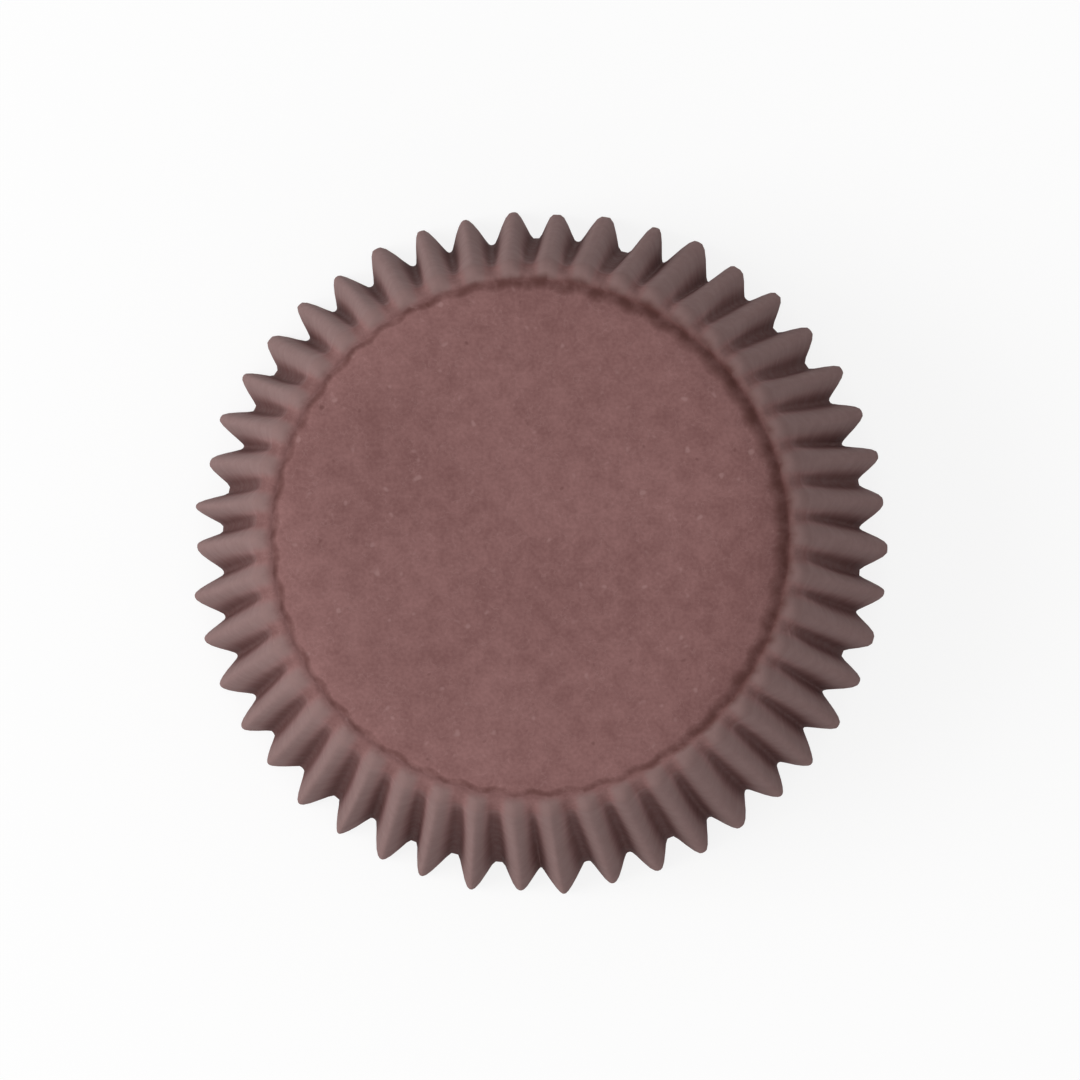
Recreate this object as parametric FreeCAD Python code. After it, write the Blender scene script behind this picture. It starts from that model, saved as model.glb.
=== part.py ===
import FreeCAD, Part
import math
import os

# A pleated paper baking cup, standing upside down on its rim.
# One disc of paper is pressed into a flat base, a crease, a rounded shoulder and a fluted wall.
# The origin is under the middle of the base, on the surface that the rim rests on, and +Z is up.

# Driving sizes, in millimetres and degrees
base_diameter = 50.0      # across the crease that the die presses around the flat base
wall_length = 32.0        # paper from the crease to the cut rim, measured down the middle of the wall
paper_thickness = 0.1
wall_flare = 12.85        # lean of the wall away from upright
shoulder_radius = 1.7     # round fold that carries the base over into the wall
shoulder_rise = 18.0      # slope of the paper just outside the crease, upwards
shoulder_fall = 68.0      # slope of the paper where the shoulder ends, downwards
collar_width = 0.3        # each of the two plain strips between the shoulder and the flutes
dish_slope = 8.0          # slope of the base just inside the crease, downwards
dish_width = 3.0          # band inside the crease that falls towards it
flute_count = 46
first_flute = 0.3         # direction of one outward fold, from +X
fold_width = 0.6          # flat back of each fold, at the rim
rim_stretch = 0.42        # what the rim is drawn out by along its long axis, and in by across it
long_axis = 18.0          # direction of the rim's long axis, from +X
wall_bands = 3            # bands of the wall, between which the fold lines bend a little

# Sizes that follow from the ones above
crease_radius = base_diameter / 2
half_paper = paper_thickness / 2
rise = math.radians(shoulder_rise)
fall = math.radians(shoulder_fall)
flare = math.radians(wall_flare)
dish = math.radians(dish_slope)
flute_start = shoulder_radius * (rise + fall) + 2 * collar_width
flat_radius = crease_radius - dish_width
flat_height = dish_width * math.tan(dish)
shoulder_centre = (crease_radius + shoulder_radius * math.sin(rise), -shoulder_radius * math.cos(rise))
fold_count = 2 * flute_count
fold_angles = [math.radians(first_flute) + math.pi * i / flute_count for i in range(fold_count)]

centre = FreeCAD.Vector(0, 0, 0)
up = FreeCAD.Vector(0, 0, 1)


def polar(radius, angle, height):
    return FreeCAD.Vector(radius * math.cos(angle), radius * math.sin(angle), height)


def wall_line(run):
    """Radius, height and downward turn of the sheet without its flutes, RUN mm of paper past the crease.
    Heights are measured from the crease."""
    turn = min(run / shoulder_radius - rise, math.pi / 2 - flare)
    straight = run - shoulder_radius * (turn + rise)
    radius = shoulder_centre[0] + shoulder_radius * math.sin(turn) + straight * math.cos(turn)
    height = shoulder_centre[1] + shoulder_radius * math.cos(turn) - straight * math.sin(turn)
    return radius, height, turn


def flute_depth(run, flat):
    """Half the depth of the flutes. The blank disc had more paper round here than the wall has room for,
    and the flutes, with backs FLAT mm wide, take up all of it."""
    radius = wall_line(run)[0]
    half_pitch = math.pi * radius / flute_count
    half_paper_ring = math.pi * (crease_radius + run) / flute_count
    return math.sqrt((half_paper_ring - flat) ** 2 - (half_pitch - flat) ** 2) / 2


def oval(point, share):
    """Draws a point out along the rim's long axis and in across it, by SHARE of what the rim is drawn."""
    stretch = share * rim_stretch / wall_line(wall_length)[0]
    axis = math.radians(long_axis)
    along = (point.x * math.cos(axis) + point.y * math.sin(axis)) * (1 + stretch)
    across = (point.y * math.cos(axis) - point.x * math.sin(axis)) * (1 - stretch)
    x = along * math.cos(axis) - across * math.sin(axis)
    y = along * math.sin(axis) + across * math.cos(axis)
    return FreeCAD.Vector(x, y, point.z)


def level_normal(start, end):
    """The level direction that points out of the liner, square to an edge that runs round it."""
    return (end - start).cross(up).normalize()


def fold_corners(run, offset):
    """The two corners of every fold, RUN mm past the crease and OFFSET mm out of the paper's middle."""
    share = (run - flute_start) / (wall_length - flute_start)
    flat = fold_width * share
    radius, height, turn = wall_line(run)
    depth = flute_depth(run, flat)
    corners = []
    for i, angle in enumerate(fold_angles):
        swing = depth if i % 2 == 0 else -depth
        middle = polar(radius + swing * math.sin(turn), angle, height + swing * math.cos(turn))
        half_back = polar(flat / 2, angle + math.pi / 2, 0)
        corners += [oval(middle - half_back, share), oval(middle + half_back, share)]
    faces_out = [level_normal(a, b) for a, b in zip(corners, corners[1:] + corners[:1])]
    moved = []
    for i, corner in enumerate(corners):
        before, after = faces_out[i - 1], faces_out[i]
        reach = offset / math.cos(flare) / (1 + before.dot(after))
        moved.append(corner + (before + after) * reach)
    return [(moved[i], moved[i + 1]) for i in range(0, len(moved), 2)]


def straight_edge(start, end):
    return Part.LineSegment(start, end).toShape()


def ring_edge(radius, height, start, end):
    middle = (start + end) / 2
    points = [polar(radius, angle, height) for angle in (start, middle, end)]
    return Part.Arc(*points).toShape()


def facet(*corners):
    return Part.Face(Part.makePolygon([*corners, corners[0]]))


def shoulder_point(turn, angle, offset):
    radius = shoulder_radius + offset
    return shoulder_centre[0] + radius * math.sin(turn), angle, shoulder_centre[1] + radius * math.cos(turn)


def collar_point(widths, angle, offset):
    """A point on the collar, so many of its widths straight on from the end of the shoulder."""
    radius, _, height = shoulder_point(fall, angle, offset)
    run = widths * collar_width
    return radius + run * math.cos(fall), angle, height - run * math.sin(fall)


def wall_skin(offset):
    """One face of the fluted sheet, from the collar to the rim, and its edges at the rim. The paper is flat
    along the back of each fold, and each flank bends once, from the outward fold down to the inward one."""
    folds = [(polar(*collar_point(2, angle, offset)),) * 2 for angle in fold_angles]
    faces = []
    for band in range(1, wall_bands + 1):
        above = folds
        run = flute_start + (wall_length - flute_start) * (band / wall_bands) ** 2
        folds = fold_corners(run, offset)
        for i in range(fold_count):
            following = i + 1 - fold_count
            this_side = (above[i][1], folds[i][1])
            next_side = (above[following][0], folds[following][0])
            outward, inward = (this_side, next_side) if i % 2 == 0 else (next_side, this_side)
            faces.append(facet(outward[0], outward[1], inward[1]))
            faces.append(facet(outward[0], inward[1], inward[0]))
            faces.append(facet(above[i][0], *folds[i]))
            if band > 1:
                faces.append(facet(*above[i], folds[i][1]))
    backs = [straight_edge(*fold) for fold in folds]
    flanks = [straight_edge(a[1], b[0]) for a, b in zip(folds, folds[1:] + folds[:1])]
    return faces, backs + flanks


def collar_skin(offset):
    """The lower half of the collar, from a round edge above to straight edges between the folds."""
    strips = []
    for start in fold_angles:
        end = start + math.pi / flute_count
        radius, _, height = collar_point(1, start, offset)
        chord = straight_edge(*(polar(*collar_point(2, angle, offset)) for angle in (start, end)))
        strips.append(Part.makeRuledSurface(ring_edge(radius, height, start, end), chord))
    return strips


def base_skin(offset):
    """One face of the round part: flat base, sloping band, crease, shoulder and upper collar."""
    lean = (dish - rise) / 2
    reach = offset / math.cos((dish + rise) / 2)
    crease = FreeCAD.Vector(crease_radius + reach * math.sin(lean), 0, reach * math.cos(lean))
    flat_edge = FreeCAD.Vector(flat_radius + offset * math.tan(dish / 2), 0, flat_height + offset)
    shoulder_middle, shoulder_end, collar_end = [
        polar(*point)
        for point in (
            shoulder_point((fall - rise) / 2, 0, offset),
            shoulder_point(fall, 0, offset),
            collar_point(1, 0, offset),
        )
    ]
    profile = Part.Wire([
        straight_edge(FreeCAD.Vector(0, 0, flat_edge.z), flat_edge),
        straight_edge(flat_edge, crease),
        Part.Arc(crease, shoulder_middle, shoulder_end).toShape(),
        straight_edge(shoulder_end, collar_end),
    ])
    return profile.revolve(centre, up, 360).Faces


def liner():
    """The whole sheet as one solid, with the rim at the bottom."""
    outer_wall, outer_rim = wall_skin(half_paper)
    inner_wall, inner_rim = wall_skin(-half_paper)
    cut_edge = [Part.makeRuledSurface(a, b) for a, b in zip(outer_rim, inner_rim)]
    round_part = Part.makeCompound(base_skin(half_paper) + base_skin(-half_paper))
    collar = Part.makeCompound(collar_skin(half_paper) + collar_skin(-half_paper))
    joined = round_part.generalFuse([collar])[0]
    sheet = Part.makeCompound(joined.Faces + outer_wall + inner_wall + cut_edge)
    sheet.sewShape()
    solid = Part.makeSolid(sheet.Shells[0])
    solid.translate(up * -solid.BoundBox.ZMin)
    return solid


os.makedirs("parts", exist_ok=True)
paper_cup = liner()
if not paper_cup.isValid() or paper_cup.Volume <= 0:
    raise ValueError("the liner isn't one closed solid")
paper_cup.exportStep("parts/liner.step")
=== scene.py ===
import math
import random

import bmesh
import bpy
from mathutils import Matrix, Vector, noise


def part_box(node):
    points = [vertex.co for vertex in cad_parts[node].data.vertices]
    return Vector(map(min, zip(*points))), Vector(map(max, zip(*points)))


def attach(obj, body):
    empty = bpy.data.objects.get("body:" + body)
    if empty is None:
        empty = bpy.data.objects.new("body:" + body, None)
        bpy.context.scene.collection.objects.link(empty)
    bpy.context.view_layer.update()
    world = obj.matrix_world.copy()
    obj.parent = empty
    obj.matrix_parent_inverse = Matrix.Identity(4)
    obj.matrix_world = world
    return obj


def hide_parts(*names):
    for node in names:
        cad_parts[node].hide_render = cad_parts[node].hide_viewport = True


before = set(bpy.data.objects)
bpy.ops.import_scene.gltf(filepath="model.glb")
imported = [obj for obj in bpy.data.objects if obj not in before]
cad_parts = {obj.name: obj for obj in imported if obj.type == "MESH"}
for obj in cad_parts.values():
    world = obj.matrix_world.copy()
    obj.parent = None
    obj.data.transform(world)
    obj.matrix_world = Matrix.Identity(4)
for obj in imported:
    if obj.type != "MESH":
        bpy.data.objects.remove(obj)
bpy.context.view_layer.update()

# A pleated brown paper baking cup, standing upside down on its rim.
# One disc of paper is pressed into a flat base, a crease, a rounded shoulder and 46 flutes.
# Lengths are in metres, +Z is up, and directions are measured from +X.

MM = 0.001

# The sheet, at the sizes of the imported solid
CREASE_RADIUS = 25 * MM
WALL_LENGTH = 32 * MM            # paper from the crease to the cut rim
PAPER_THICKNESS = 0.1 * MM
WALL_FLARE = math.radians(12.85)
SHOULDER_RADIUS = 1.7 * MM
SHOULDER_RISE = math.radians(18)
FLUTES = 46
FIRST_FLUTE = math.radians(0.3)

# Worked out from these: how far the shoulder turns, and the centre of its arc
SHOULDER_TURN = SHOULDER_RISE + math.pi / 2 - WALL_FLARE
CENTRE_RADIUS = CREASE_RADIUS + SHOULDER_RADIUS * math.sin(SHOULDER_RISE)
CENTRE_HEIGHT = -SHOULDER_RADIUS * math.cos(SHOULDER_RISE)   # over the crease

# How the soft paper rounds off the pressed base
DOME_WIDTH = 10 * MM             # band inside the crease that falls towards it
DOME_FALL = 1.0 * MM
DOME_POWER = 4.8                 # how late the fall begins
PRESSED_AND_SHADED_SIDE = math.radians(24)  # where the die pressed hardest, on the side turned away from the lamp; the painted shade along the crease is strongest here too
PRESSED_HARDER = 0.32            # how much harder than in the middle
GROOVE_DEPTH = 0.15 * MM
GROOVE_WIDTHS = (0.55 * MM, 0.60 * MM)   # from its bottom, towards the base and towards the wall
GROOVE_SCALLOP = 0.15 * MM       # how far the groove sways in and out with the flutes
GROOVE_PATCHES = 7               # how closely its deep and shallow stretches follow each other
GROOVE_UNEVEN = 0.8              # how much they differ
BASE_SWELL = 0.06 * MM           # low waves of the flat base
BASE_SWELL_LENGTH = 9 * MM

# How the springy paper strays from the even pleats of the die
SEED = 7
RIM_SWELLS = [(2, 0.43 * MM, 20), (3, 0.10 * MM, 28), (4, 0.15 * MM, 43)]   # lobes, height, peak in degrees
FOLD_DRIFTS = [(1, 0.38, 42), (2, 0.74, -54)]   # lobes, slip round the rim in degrees, peak in degrees
FOLD_WANDER = math.radians(0.3)  # each fold's own slip round the rim
FOLD_BOW = math.radians(0.15)    # each fold's own bow half way down
UNEVEN_TIPS = 0.10               # spread of the outward folds' swing
UNEVEN_NOTCHES = 0.14            # spread of the inward folds' swing
SHARPNESS = (0.65, 0.99)         # of the roundest and of the crispest fold
SPRING = 0.88                    # how far the flutes stand, against paper folded sharp
RIDGE_BREADTH = 0.16             # how much broader the outward folds are than the inward ones
HEAD_DEPTH = 0.25 * MM           # half the depth that the die presses between the heads of the flutes
HEAD_START = 0.2 * MM
HEAD_LENGTH = 1.4 * MM
HEAD_FADE = 6                    # how soon, down the wall, the flutes lie in line with the smooth sheet again
WALL_SWELL = 0.05 * MM           # low waves of the wall
WALL_SWELL_LENGTH = 7 * MM

# Half of a fold's flat back, as a share of the way to the next fold. An outward fold's least and most grow
# from nothing on the far side to twice these on the blunt side.
BLUNT_SIDE = math.radians(50)
LEAST_BACK = 0.03
MOST_BACK = 0.085
SPARE_BACK = 0.02                # added to the most, all round
MOST_NOTCH = 0.18                # the most of an inward fold, all round

# How finely the sheet is divided
COLUMNS_A_FLUTE = 16
SHOULDER_ROWS = 15
WALL_ROWS = 27
BASE_ROWS = 7
DOME_ROWS = 8
GROOVE_ROWS = 5
CROWDING = 0.6                   # how much closer the columns stand near the folds
MERGED_WITHIN = 0.001 * MM


def wall_line(run):
    """Radius, height over the crease and downward turn of the smooth sheet, RUN of paper past the crease."""
    turn = min(run / SHOULDER_RADIUS - SHOULDER_RISE, math.pi / 2 - WALL_FLARE)
    straight = run - SHOULDER_RADIUS * (turn + SHOULDER_RISE)
    radius = CENTRE_RADIUS + SHOULDER_RADIUS * math.sin(turn) + straight * math.cos(turn)
    height = CENTRE_HEIGHT + SHOULDER_RADIUS * math.cos(turn) - straight * math.sin(turn)
    return radius, height, turn


def flute_depth(run):
    """Half the depth of the flutes, and how far their middle lies inside the smooth sheet. They take up all
    the paper that the wall has no room for, and the die presses the gaps between their heads."""
    radius = wall_line(run)[0]
    spare = max((CREASE_RADIUS + run) ** 2 - radius ** 2, 0)
    folded = SPRING * math.pi / FLUTES * math.sqrt(spare) / 2
    grown = min(max((run - HEAD_START) / HEAD_LENGTH, 0), 1)
    head = HEAD_DEPTH * math.sin(math.pi / 2 * grown) ** 2
    return math.hypot(folded, head), head * (1 - run / WALL_LENGTH) ** HEAD_FADE


def waves(lobes, direction):
    """The sum of low waves round the cup, each given by its lobes, its height and where it peaks."""
    return sum(height * math.cos(count * (direction - math.radians(peak))) for count, height, peak in lobes)


def fold_lines():
    """Each fold's slip round the rim, bow, swing out or in, half of its flat back and its sharpness."""
    draw = random.Random(SEED)
    folds = []
    for i in range(2 * FLUTES):
        outward = i % 2 == 0
        direction = FIRST_FLUTE + math.pi * i / FLUTES
        blunt = 1 + math.cos(direction - BLUNT_SIDE)
        flats = (LEAST_BACK * blunt, SPARE_BACK + MOST_BACK * blunt) if outward else (0, MOST_NOTCH)
        uneven = UNEVEN_TIPS if outward else UNEVEN_NOTCHES
        folds.append({
            "slip": math.radians(waves(FOLD_DRIFTS, direction)) + draw.gauss(0, FOLD_WANDER),
            "bow": draw.gauss(0, FOLD_BOW),
            "swing": (1 if outward else -1) * (1 + draw.gauss(0, uneven)),
            "flat": draw.uniform(*flats),
            "sharpness": draw.uniform(*SHARPNESS),
        })
    return folds


def pleated(run, even, folds):
    """Where the pleats take the paper that lies RUN past the crease, in direction EVEN from the first fold.
    Also tells how far down the wall it is, from 0 to 1, and how far from an inward fold to an outward one,
    from -1 to 1."""
    share = run / WALL_LENGTH
    place = even / math.pi * FLUTES
    i = math.floor(place)
    side = 1 if i % 2 == 0 else -1
    before, after = folds[i % len(folds)], folds[(i + 1) % len(folds)]
    across = place - i
    across -= CROWDING * math.sin(2 * math.pi * across) / (2 * math.pi)

    flank = (across - before["flat"]) / (1 - before["flat"] - after["flat"])
    flank = min(max(flank, 0), 1)
    flank -= RIDGE_BREADTH * flank * (1 - flank) * side
    sharpness = before["sharpness"] + (after["sharpness"] - before["sharpness"]) * flank
    crossed = 0.5 - 0.5 * math.asin(sharpness * math.cos(math.pi * flank)) / math.asin(sharpness)

    def between(key):
        return before[key] + (after[key] - before[key]) * crossed

    def along(key):
        return before[key] + (after[key] - before[key]) * across

    radius, height, turn = wall_line(run)
    depth, sunk = flute_depth(run)
    regular = (1 - 2 * crossed) * side
    swing = depth * (regular + (between("swing") - regular) * share) - sunk
    slip = along("slip") * share + along("bow") * math.sin(math.pi * share)
    direction = FIRST_FLUTE + (i + across) * math.pi / FLUTES + slip
    radius += swing * math.sin(turn) + waves(RIM_SWELLS, direction) * share
    height += swing * math.cos(turn)
    return Vector((radius * math.cos(direction), radius * math.sin(direction), height)), share, regular


def pressed(run, even):
    """How far the die and the soft paper's dome put a point below the flat base, beyond the smooth sheet."""
    stronger_to_side = 1 + PRESSED_HARDER * math.cos(even - PRESSED_AND_SHADED_SIDE)
    inward = min(max(-run / DOME_WIDTH, 0), 1)
    down_wall = max(run / WALL_LENGTH, 0)
    dome = DOME_FALL * (1 - inward) ** DOME_POWER * (1 - down_wall)
    sway = GROOVE_SCALLOP * math.cos(FLUTES * (even - FIRST_FLUTE))
    beside = run - sway
    patchy = 1 + GROOVE_UNEVEN * noise.noise(GROOVE_PATCHES * Vector((math.cos(even), math.sin(even), 0)))
    groove = GROOVE_DEPTH * patchy * math.exp(-(beside / GROOVE_WIDTHS[beside > 0]) ** 2)
    return (dome + groove) * stronger_to_side


def meridian(sheet, run_layer):
    """The sheet's line from the middle of the base to the rim, as a chain of edges in the XZ plane. Each of
    its points is marked with its run, the paper from the crease to it."""
    centre = Vector((CENTRE_RADIUS, 0, CENTRE_HEIGHT))
    crease = Vector((CREASE_RADIUS, 0, 0))
    first = bmesh.ops.create_vert(sheet, co=crease)["vert"]
    bmesh.ops.spin(
        sheet, geom=first, cent=centre, axis=(0, 1, 0), angle=SHOULDER_TURN, steps=SHOULDER_ROWS
    )

    def lengthen(start, end, rows):
        """A straight stretch of the line, divided into rows, on from the vertex that lies at START."""
        nearest = min(sheet.verts, key=lambda vertex: (vertex.co - start).length)
        grown = bmesh.ops.extrude_vert_indiv(sheet, verts=[nearest])
        grown["verts"][0].co = end
        bmesh.ops.subdivide_edges(sheet, edges=grown["edges"], cuts=rows - 1)

    def on_wall(run):
        radius, height, _ = wall_line(run)
        return Vector((radius, 0, height))

    groove_edge = Vector((CREASE_RADIUS - 2 * GROOVE_WIDTHS[0], 0, 0))
    dome_edge = Vector((CREASE_RADIUS - DOME_WIDTH, 0, 0))
    shoulder_end = on_wall(SHOULDER_RADIUS * SHOULDER_TURN)
    lengthen(shoulder_end, on_wall(WALL_LENGTH), WALL_ROWS)
    lengthen(crease, groove_edge, GROOVE_ROWS)
    lengthen(groove_edge, dome_edge, DOME_ROWS)
    lengthen(dome_edge, Vector((0, 0, 0)), BASE_ROWS)

    for vertex in sheet.verts:
        beyond = vertex.co - centre
        turn = math.atan2(beyond.x, beyond.z)
        if vertex.co.x < CREASE_RADIUS:
            vertex[run_layer] = vertex.co.x - CREASE_RADIUS
        elif turn < math.pi / 2 - WALL_FLARE:
            vertex[run_layer] = SHOULDER_RADIUS * (turn + SHOULDER_RISE)
        else:
            vertex[run_layer] = SHOULDER_RADIUS * SHOULDER_TURN + (vertex.co - shoulder_end).length


def round_pressing(sheet, run_layer):
    """The sheet before it is pleated, spun from its meridian."""
    meridian(sheet, run_layer)
    bmesh.ops.spin(
        sheet,
        geom=sheet.verts[:] + sheet.edges[:],
        axis=(0, 0, 1),
        angle=2 * math.pi,
        steps=FLUTES * COLUMNS_A_FLUTE,
        use_merge=True,
    )
    bmesh.ops.remove_doubles(sheet, verts=sheet.verts, dist=MERGED_WITHIN)
    bmesh.ops.recalc_face_normals(sheet, faces=sheet.faces)


def pleat(sheet, run_layer, blank_layer, fold_layer):
    """Moves the round pressing to where its folds and the die take it. Each point keeps its place on the flat
    disc of paper, and its place among the folds: down the wall, outward, and on the flutes' even scallop."""
    folds = fold_lines()
    for vertex in sheet.verts:
        run = vertex[run_layer]
        even = math.atan2(vertex.co.y, vertex.co.x) % (2 * math.pi)
        blank_radius = CREASE_RADIUS + run
        vertex[blank_layer] = (blank_radius * math.cos(even), blank_radius * math.sin(even), 0)
        scallop = math.cos(FLUTES * (even - FIRST_FLUTE))
        vertex[fold_layer] = (0, 0, scallop)
        if run > 0:
            vertex.co, share, regular = pleated(run, even, folds)
            vertex[fold_layer] = (share, regular, scallop)
            out = Vector((vertex.co.x, vertex.co.y, 0)).normalized()
            vertex.co += out * noise.noise(vertex.co / WALL_SWELL_LENGTH) * WALL_SWELL * share
        else:
            calm = min(-run / DOME_WIDTH, 1)
            vertex.co.z += noise.noise(vertex.co / BASE_SWELL_LENGTH) * BASE_SWELL * calm
        vertex.co.z -= pressed(run, even)


def paper_cup():
    """The whole sheet, as one piece with the paper's thickness."""
    sheet = bmesh.new()
    run_layer = sheet.verts.layers.float.new("run")
    blank_layer = sheet.verts.layers.float_vector.new("blank")
    fold_layer = sheet.verts.layers.float_vector.new("fold")
    round_pressing(sheet, run_layer)
    pleat(sheet, run_layer, blank_layer, fold_layer)

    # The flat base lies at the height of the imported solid, and the lowest folds touch the floor
    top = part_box("liner")[1].z - PAPER_THICKNESS / 2
    highest = max(vertex.co.z for vertex in sheet.verts)
    bmesh.ops.translate(sheet, verts=sheet.verts, vec=(0, 0, top - highest))
    lowest = min(vertex.co.z for vertex in sheet.verts)
    for vertex in sheet.verts:
        vertex.co.z -= lowest * vertex[fold_layer].x

    for face in sheet.faces:
        face.smooth = True
    for edge in sheet.edges:
        edge.smooth = not edge.is_boundary
    mesh = bpy.data.meshes.new("paper_cup")
    sheet.to_mesh(mesh)
    sheet.free()
    cup = bpy.data.objects.new("paper_cup", mesh)
    bpy.context.scene.collection.objects.link(cup)
    skin = cup.modifiers.new("paper_thickness", "SOLIDIFY")
    skin.thickness = PAPER_THICKNESS
    skin.offset = 0
    skin.use_even_offset = True
    return cup


class Nodes:
    """A material's node tree, with short calls to add nodes and link them."""

    def __init__(self, material):
        material.use_nodes = True
        self.tree = material.node_tree
        self.tree.nodes.clear()

    def add(self, kind, inputs=None, **settings):
        node = self.tree.nodes.new(kind)
        for name, value in settings.items():
            setattr(node, name, value)
        for name, value in (inputs or {}).items():
            if isinstance(value, bpy.types.NodeSocket):
                self.tree.links.new(value, node.inputs[name])
            else:
                node.inputs[name].default_value = value
        return node

    def math(self, operation, first, second=0.0, clamp=False):
        node = self.add("ShaderNodeMath", {0: first, 1: second}, operation=operation, use_clamp=clamp)
        return node.outputs[0]

    def mix(self, amount, first, second):
        """A colour mix. Its sockets go by place, because its colours and numbers share their names."""
        node = self.add("ShaderNodeMix", {0: amount, 6: first, 7: second}, data_type="RGBA")
        return node.outputs[2]

    def span(self, value, low, high, to_low, to_high):
        """VALUE eased from one span to another, and held at its ends."""
        node = self.add(
            "ShaderNodeMapRange",
            {"Value": value, "From Min": low, "From Max": high, "To Min": to_low, "To Max": to_high},
            interpolation_type="SMOOTHSTEP",
        )
        return node.outputs["Result"]

    def cloud(self, where, size, detail, roughness):
        """Soft noise whose patches are about SIZE wide."""
        node = self.add(
            "ShaderNodeTexNoise",
            {"Vector": where, "Scale": 1 / size, "Detail": detail, "Roughness": roughness},
        )
        return node.outputs["Fac"]


# The paper's colours, with its painted sheen and painted shade, and its gloss
PAPER_BROWN = (0.282, 0.144, 0.138, 1)
PAPER_DARK = (0.195, 0.092, 0.088, 1)
PAPER_FLECK = (0.38, 0.23, 0.22, 1)
# painted sheen: a paler grey that stands in for the whitish gloss of the steep wall
PAPER_GREY = (0.242, 0.158, 0.150, 1)
# painted shade in the valleys between the flutes, darkest towards the notches at the rim
PAPER_VALLEY_SHADE = (0.098, 0.039, 0.036, 1)
# dark specks in the pulp, and the crease's darker pressed mark with its painted shade
PAPER_SPECK_AND_CREASE_SHADE = (0.105, 0.042, 0.037, 1)
PAPER_GLOSS = 0.08

# Its patches: how wide they are, their steps of finer detail, and how strong each step is
PULP = (14 * MM, 4, 0.6)
MOTTLE = (1.8 * MM, 3, 0.55)
GRAIN = (0.38 * MM, 2, 0.5)
FLECKS = (1.3 * MM, 1, 0.5)
FIBRES = (3.5 * MM, 3, 0.65)

# Spans: two values of what a span reads, then the values that it gives for them
PULP_DARKENS = (0.25, 0.75, 0, 0.5)
MOTTLE_DARKENS = (0.2, 0.8, 0, 0.5)
GRAIN_DARKENS = (0.25, 0.75, -0.15, 0.25)
FIBRE_SHOWS = (0.0, 0.008, 0.18, 0)      # by how far the fibre patches are from their middle value
PALE_FLECK_SHOWS = (0.68, 0.80, 0, 0.45)
DARK_SPECK_SHOWS = (0.18, 0.28, 0.5, 0)
MOTTLE_ROUGHENS = (0.3, 0.7, 0.66, 0.78)
RIDGE_SHEEN = (-0.8, 0.6, 0.1, 0.8)     # painted sheen, from the inward folds to the outward ones
VALLEY_WIDENS = (0.0, 0.55, -0.35, 0.35)     # where the painted valley shade widens, down the wall
VALLEY_DARKENS = (-0.05, 0.26, 0, 0.95)      # how the painted valley shade darkens, down the wall
CREASE_FADES = (0.2 * MM, 1.6 * MM, 1, 0)    # the crease band and its painted shade, past its middle, towards the wall

# Pairs of values: on the far side of the cup, and on the side pressed hardest, which is turned away from the
# lamp
HEAD_SHEEN = (0.1, 0.4)         # how grey the painted sheen makes the heads of the flutes
SHEEN_FROM = (0.04, 0.012)      # share of the wall at which the painted sheen is whole
CREASE_SPREADS = (0.4 * MM, 1.45 * MM)   # half the width of the darker band along the crease, a pressed mark with painted shade
CREASE_STRENGTHS = (0.7, 1)
CREASE_PATCHES_LEFT = (0.4, 0.65)        # what is left of the band where the mottle breaks it

HEAD_SHEEN_TO = (0.03, 0.1)     # shares of the wall where the painted sheen on the heads begins to fade and is gone
CREASE_SHIFT = -0.15 * MM        # middle of the darker band and its painted shade, past the crease
CREASE_SCALLOP = 0.17 * MM       # how far the band sways in and out with the flutes
CREASE_SIDE = -0.2 * CREASE_RADIUS       # how far across the cup the change to the pressed side, turned away from the lamp, begins
CREASE_BREAKS = (0.35, 0.65)     # values of the mottle where the band is most and least broken
MOTTLE_RELIEF = 0.6              # against the grain's
RELIEF_STRENGTH = 0.5
RELIEF_HEIGHT = 0.03 * MM


def dyed_pulp(nodes, blank, mottle, grain):
    """The colour of the sheet: cloudy where the pulp is thicker, with a fine grain, a few pale fibres and
    flecks, and a few dark specks."""
    pulp = nodes.cloud(blank, *PULP)
    flecks = nodes.cloud(blank, *FLECKS)
    fibres = nodes.cloud(blank, *FIBRES)
    density = nodes.math("ADD", nodes.span(pulp, *PULP_DARKENS), nodes.span(mottle, *MOTTLE_DARKENS))
    density = nodes.math("ADD", density, nodes.span(grain, *GRAIN_DARKENS), clamp=True)
    colour = nodes.mix(density, PAPER_BROWN, PAPER_DARK)
    fibre = nodes.span(nodes.math("ABSOLUTE", nodes.math("SUBTRACT", fibres, 0.5)), *FIBRE_SHOWS)
    pale = nodes.math("MAXIMUM", fibre, nodes.span(flecks, *PALE_FLECK_SHOWS))
    colour = nodes.mix(pale, colour, PAPER_FLECK)
    return nodes.mix(nodes.span(flecks, *DARK_SPECK_SHOWS), colour, PAPER_SPECK_AND_CREASE_SHADE)


def grey_sheen(nodes, down_wall, outward, to_side):
    """How much painted sheen greys the paper, on the ridges and on the heads of the flutes."""
    head = nodes.span(to_side, -CREASE_RADIUS, CREASE_RADIUS, *HEAD_SHEEN)
    start = nodes.span(to_side, -CREASE_RADIUS, CREASE_RADIUS, *SHEEN_FROM)
    ridge = nodes.span(outward, *RIDGE_SHEEN)
    grey = nodes.math("MAXIMUM", ridge, nodes.span(down_wall, *HEAD_SHEEN_TO, head, 0))
    return nodes.math("MULTIPLY", grey, nodes.span(down_wall, 0, start, 0, 1))


def deep(nodes, down_wall, outward):
    """How dark the painted shade is in the valleys, which widen down the wall."""
    valley = nodes.span(outward, -1, nodes.span(down_wall, *VALLEY_WIDENS), 1, 0)
    return nodes.math("MULTIPLY", valley, nodes.span(down_wall, *VALLEY_DARKENS))


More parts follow.
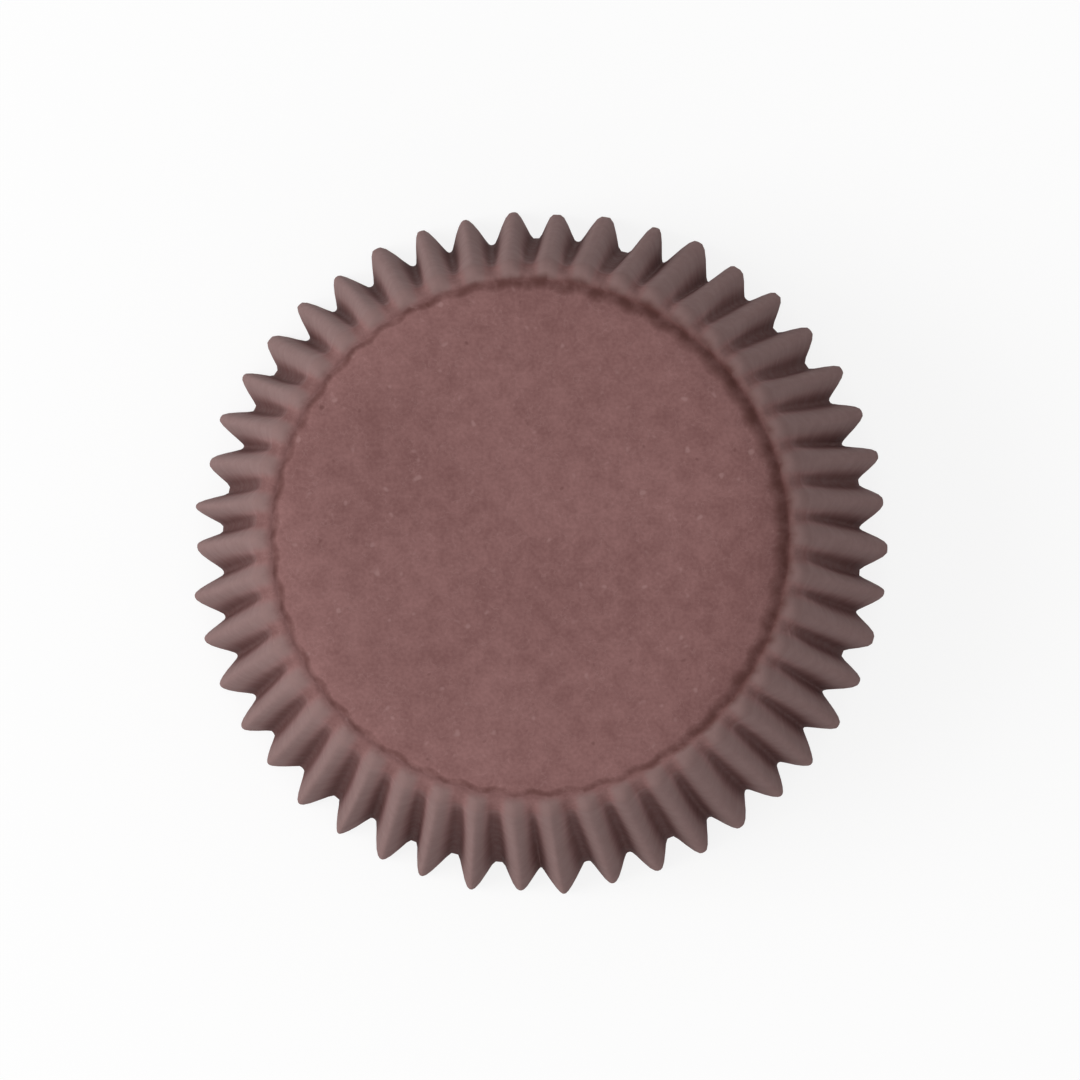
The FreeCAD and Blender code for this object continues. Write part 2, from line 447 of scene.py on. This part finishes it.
def crease_mark_and_shade(nodes, blank, scallop, mottle, to_side):
    """How strong the darker band along the crease is: a mark that the die leaves, deepened with painted
    shade.
    It is broadest and least patchy on the side pressed hardest, which is turned away from the lamp."""
    blank_radius = nodes.add("ShaderNodeVectorMath", {0: blank}, operation="LENGTH").outputs["Value"]
    past_middle = nodes.math("SUBTRACT", blank_radius, CREASE_RADIUS + CREASE_SHIFT)
    past_middle = nodes.math("SUBTRACT", past_middle, nodes.math("MULTIPLY", scallop, CREASE_SCALLOP))
    spread = nodes.span(to_side, CREASE_SIDE, CREASE_RADIUS, *CREASE_SPREADS)
    beside = nodes.math("DIVIDE", past_middle, spread)
    band = nodes.math("SUBTRACT", 1, nodes.math("MULTIPLY", beside, beside), clamp=True)
    band = nodes.math("MULTIPLY", band, nodes.span(past_middle, *CREASE_FADES))
    # the band and its painted shade are strongest on the side turned away from the lamp
    stronger_to_side = nodes.span(to_side, CREASE_SIDE, CREASE_RADIUS, *CREASE_STRENGTHS)
    left = nodes.span(to_side, 0, CREASE_RADIUS, *CREASE_PATCHES_LEFT)
    patchy = nodes.span(mottle, *CREASE_BREAKS, left, 1)
    return nodes.math("MULTIPLY", band, nodes.math("MULTIPLY", stronger_to_side, patchy))


def brown_paper():
    """Matte dyed baking paper, with painted sheen greying its ridges, painted shade darkening its valleys,
    and a darker pressed mark with painted shade along its crease.
    """
    material = bpy.data.materials.new("brown_paper")
    nodes = Nodes(material)
    blank = nodes.add("ShaderNodeAttribute", attribute_name="blank").outputs["Vector"]
    fold = nodes.add("ShaderNodeAttribute", attribute_name="fold").outputs["Vector"]
    down_wall, outward, scallop = nodes.add("ShaderNodeSeparateXYZ", {"Vector": fold}).outputs
    side = (math.cos(PRESSED_AND_SHADED_SIDE), math.sin(PRESSED_AND_SHADED_SIDE), 0)
    to_side = nodes.add("ShaderNodeVectorMath", {0: blank, 1: side}, operation="DOT_PRODUCT").outputs["Value"]
    mottle = nodes.cloud(blank, *MOTTLE)
    grain = nodes.cloud(blank, *GRAIN)

    colour = dyed_pulp(nodes, blank, mottle, grain)
    # painted sheen on the ridges and on the heads of the flutes
    colour = nodes.mix(grey_sheen(nodes, down_wall, outward, to_side), colour, PAPER_GREY)
    # painted shade in the valleys, where the flutes hide the paper from the light
    colour = nodes.mix(deep(nodes, down_wall, outward), colour, PAPER_VALLEY_SHADE)
    # the crease's darker pressed mark, deepened with painted shade
    colour = nodes.mix(crease_mark_and_shade(nodes, blank, scallop, mottle, to_side), colour, PAPER_SPECK_AND_CREASE_SHADE)

    relief = nodes.math("ADD", grain, nodes.math("MULTIPLY", mottle, MOTTLE_RELIEF))
    bump = nodes.add(
        "ShaderNodeBump", {"Height": relief, "Strength": RELIEF_STRENGTH, "Distance": RELIEF_HEIGHT}
    )
    shader = nodes.add(
        "ShaderNodeBsdfPrincipled",
        {
            "Base Color": colour,
            "Roughness": nodes.span(mottle, *MOTTLE_ROUGHENS),
            "Specular IOR Level": PAPER_GLOSS,
            "Normal": bump.outputs["Normal"],
        },
    )
    nodes.add("ShaderNodeOutputMaterial", {"Surface": shader.outputs["BSDF"]})
    return material


# The studio
WHITE = (1, 1, 1, 1)
FLOOR_SIZE = 3.0
FLOOR_WHITE = (0.98, 0.98, 0.98, 1)
FLOOR_GREY = (0.42, 0.42, 0.42, 1)
FLOOR_GLOW = 0.85                # how much of the floor's look is plain white rather than lit
OVERHEAD_LIGHT = 0.40
LEVEL_LIGHT = 1.08               # near the horizon
LEFT_LIGHT = 0.20                # how much brighter the light is from the left and from below in the picture
SIDEWAYS_REACH = 1.4             # about the most that X and Y of a direction add up to
WINDOW_SIZE = 0.5
WINDOW_WATTS = 4.1
WINDOW_SIDE = (-1, -0.05, 0.9)
WINDOW_DISTANCE = 0.9

# The photo's frame and view
FRAME_PIXELS = 1080
FOCAL_PIXELS = 6194
SENSOR = 36 * MM
CAMERA_DISTANCE = 600 * MM
AIM = (0.97 * MM, -0.34 * MM)    # point of the base's plane at the middle of the frame
CAMERA_LEAN = (0.0341, -0.0483)  # how far the camera stands to +X and +Y for each unit it stands up
NEAREST_SEEN = 10 * MM
FARTHEST_SEEN = 10.0


def seen_directly(nodes):
    """1 for what the camera or a mirror sees, and 0 for light that bounces."""
    rays = nodes.add("ShaderNodeLightPath")
    seen = nodes.math("ADD", rays.outputs["Is Camera Ray"], rays.outputs["Is Glossy Ray"], clamp=True)
    return nodes.math("ADD", seen, rays.outputs["Is Transmission Ray"], clamp=True)


def white_floor():
    """The pale floor. It looks white, keeps the cup's shadow, and throws only a little light back up."""
    sheet = bmesh.new()
    bmesh.ops.create_grid(sheet, x_segments=1, y_segments=1, size=FLOOR_SIZE / 2)
    mesh = bpy.data.meshes.new("floor")
    sheet.to_mesh(mesh)
    sheet.free()
    floor = bpy.data.objects.new("floor", mesh)
    bpy.context.scene.collection.objects.link(floor)

    material = bpy.data.materials.new("floor_white")
    nodes = Nodes(material)
    seen = seen_directly(nodes)
    lit = nodes.add("ShaderNodeBsdfDiffuse", {"Color": nodes.mix(seen, FLOOR_GREY, FLOOR_WHITE)})
    plain = nodes.add("ShaderNodeEmission", {"Color": WHITE, "Strength": 1.0})
    glow = nodes.math("MULTIPLY", seen, FLOOR_GLOW)
    mixed = nodes.add("ShaderNodeMixShader", {0: glow, 1: lit.outputs[0], 2: plain.outputs[0]})
    nodes.add("ShaderNodeOutputMaterial", {"Surface": mixed.outputs[0]})
    mesh.materials.append(material)


def studio_world():
    """Soft light from all round, brightest near the horizon at the lower left, and a white backdrop."""
    world = bpy.data.worlds.new("studio")
    bpy.context.scene.world = world
    nodes = Nodes(world)
    direction = nodes.add("ShaderNodeTexCoord").outputs["Generated"]
    along = nodes.add("ShaderNodeSeparateXYZ", {"Vector": direction}).outputs
    level = nodes.span(along["Z"], 0, 1, LEVEL_LIGHT, OVERHEAD_LIGHT)
    sideways = nodes.math("ADD", along["X"], along["Y"])
    from_side = nodes.span(sideways, -SIDEWAYS_REACH, SIDEWAYS_REACH, 1 + LEFT_LIGHT, 1 - LEFT_LIGHT)
    strength = nodes.math("MULTIPLY", level, from_side)
    light = nodes.add("ShaderNodeBackground", {"Color": WHITE, "Strength": strength})
    backdrop = nodes.add("ShaderNodeBackground", {"Color": WHITE, "Strength": 1.0})
    mixed = nodes.add(
        "ShaderNodeMixShader", {0: seen_directly(nodes), 1: light.outputs[0], 2: backdrop.outputs[0]}
    )
    nodes.add("ShaderNodeOutputWorld", {"Surface": mixed.outputs[0]})


def facing(back):
    """The turn that makes a camera or lamp look along -BACK, with +Y up in its picture."""
    back = Vector(back).normalized()
    right = Vector((0, 1, 0)).cross(back).normalized()
    return Matrix((right, back.cross(right), back)).transposed().to_4x4()


def window_lamp():
    """One wide soft lamp to the left of the cup, like a window."""
    lamp = bpy.data.lights.new("window", "AREA")
    lamp.shape = "SQUARE"
    lamp.size = WINDOW_SIZE
    lamp.energy = WINDOW_WATTS
    away = Vector(WINDOW_SIDE).normalized()
    lit = bpy.data.objects.new("window", lamp)
    lit.matrix_world = Matrix.Translation(away * WINDOW_DISTANCE) @ facing(away)
    bpy.context.scene.collection.objects.link(lit)


def photo_camera():
    """The camera stands almost straight over the base, a little to the right and below it in the picture."""
    lens = bpy.data.cameras.new("camera")
    lens.sensor_width = SENSOR / MM
    lens.lens = FOCAL_PIXELS / FRAME_PIXELS * SENSOR / MM
    lens.clip_start = NEAREST_SEEN
    lens.clip_end = FARTHEST_SEEN
    back = Vector((*CAMERA_LEAN, 1)).normalized()
    aim = Vector((*AIM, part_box("liner")[1].z))
    camera = bpy.data.objects.new("camera", lens)
    camera.matrix_world = Matrix.Translation(aim + back * CAMERA_DISTANCE) @ facing(back)
    bpy.context.scene.collection.objects.link(camera)
    bpy.context.scene.camera = camera


cup = paper_cup()
cup.data.materials.append(brown_paper())
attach(cup, "root")
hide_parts("liner")

white_floor()
studio_world()
window_lamp()
photo_camera()
bpy.context.scene.view_settings.view_transform = "Standard"
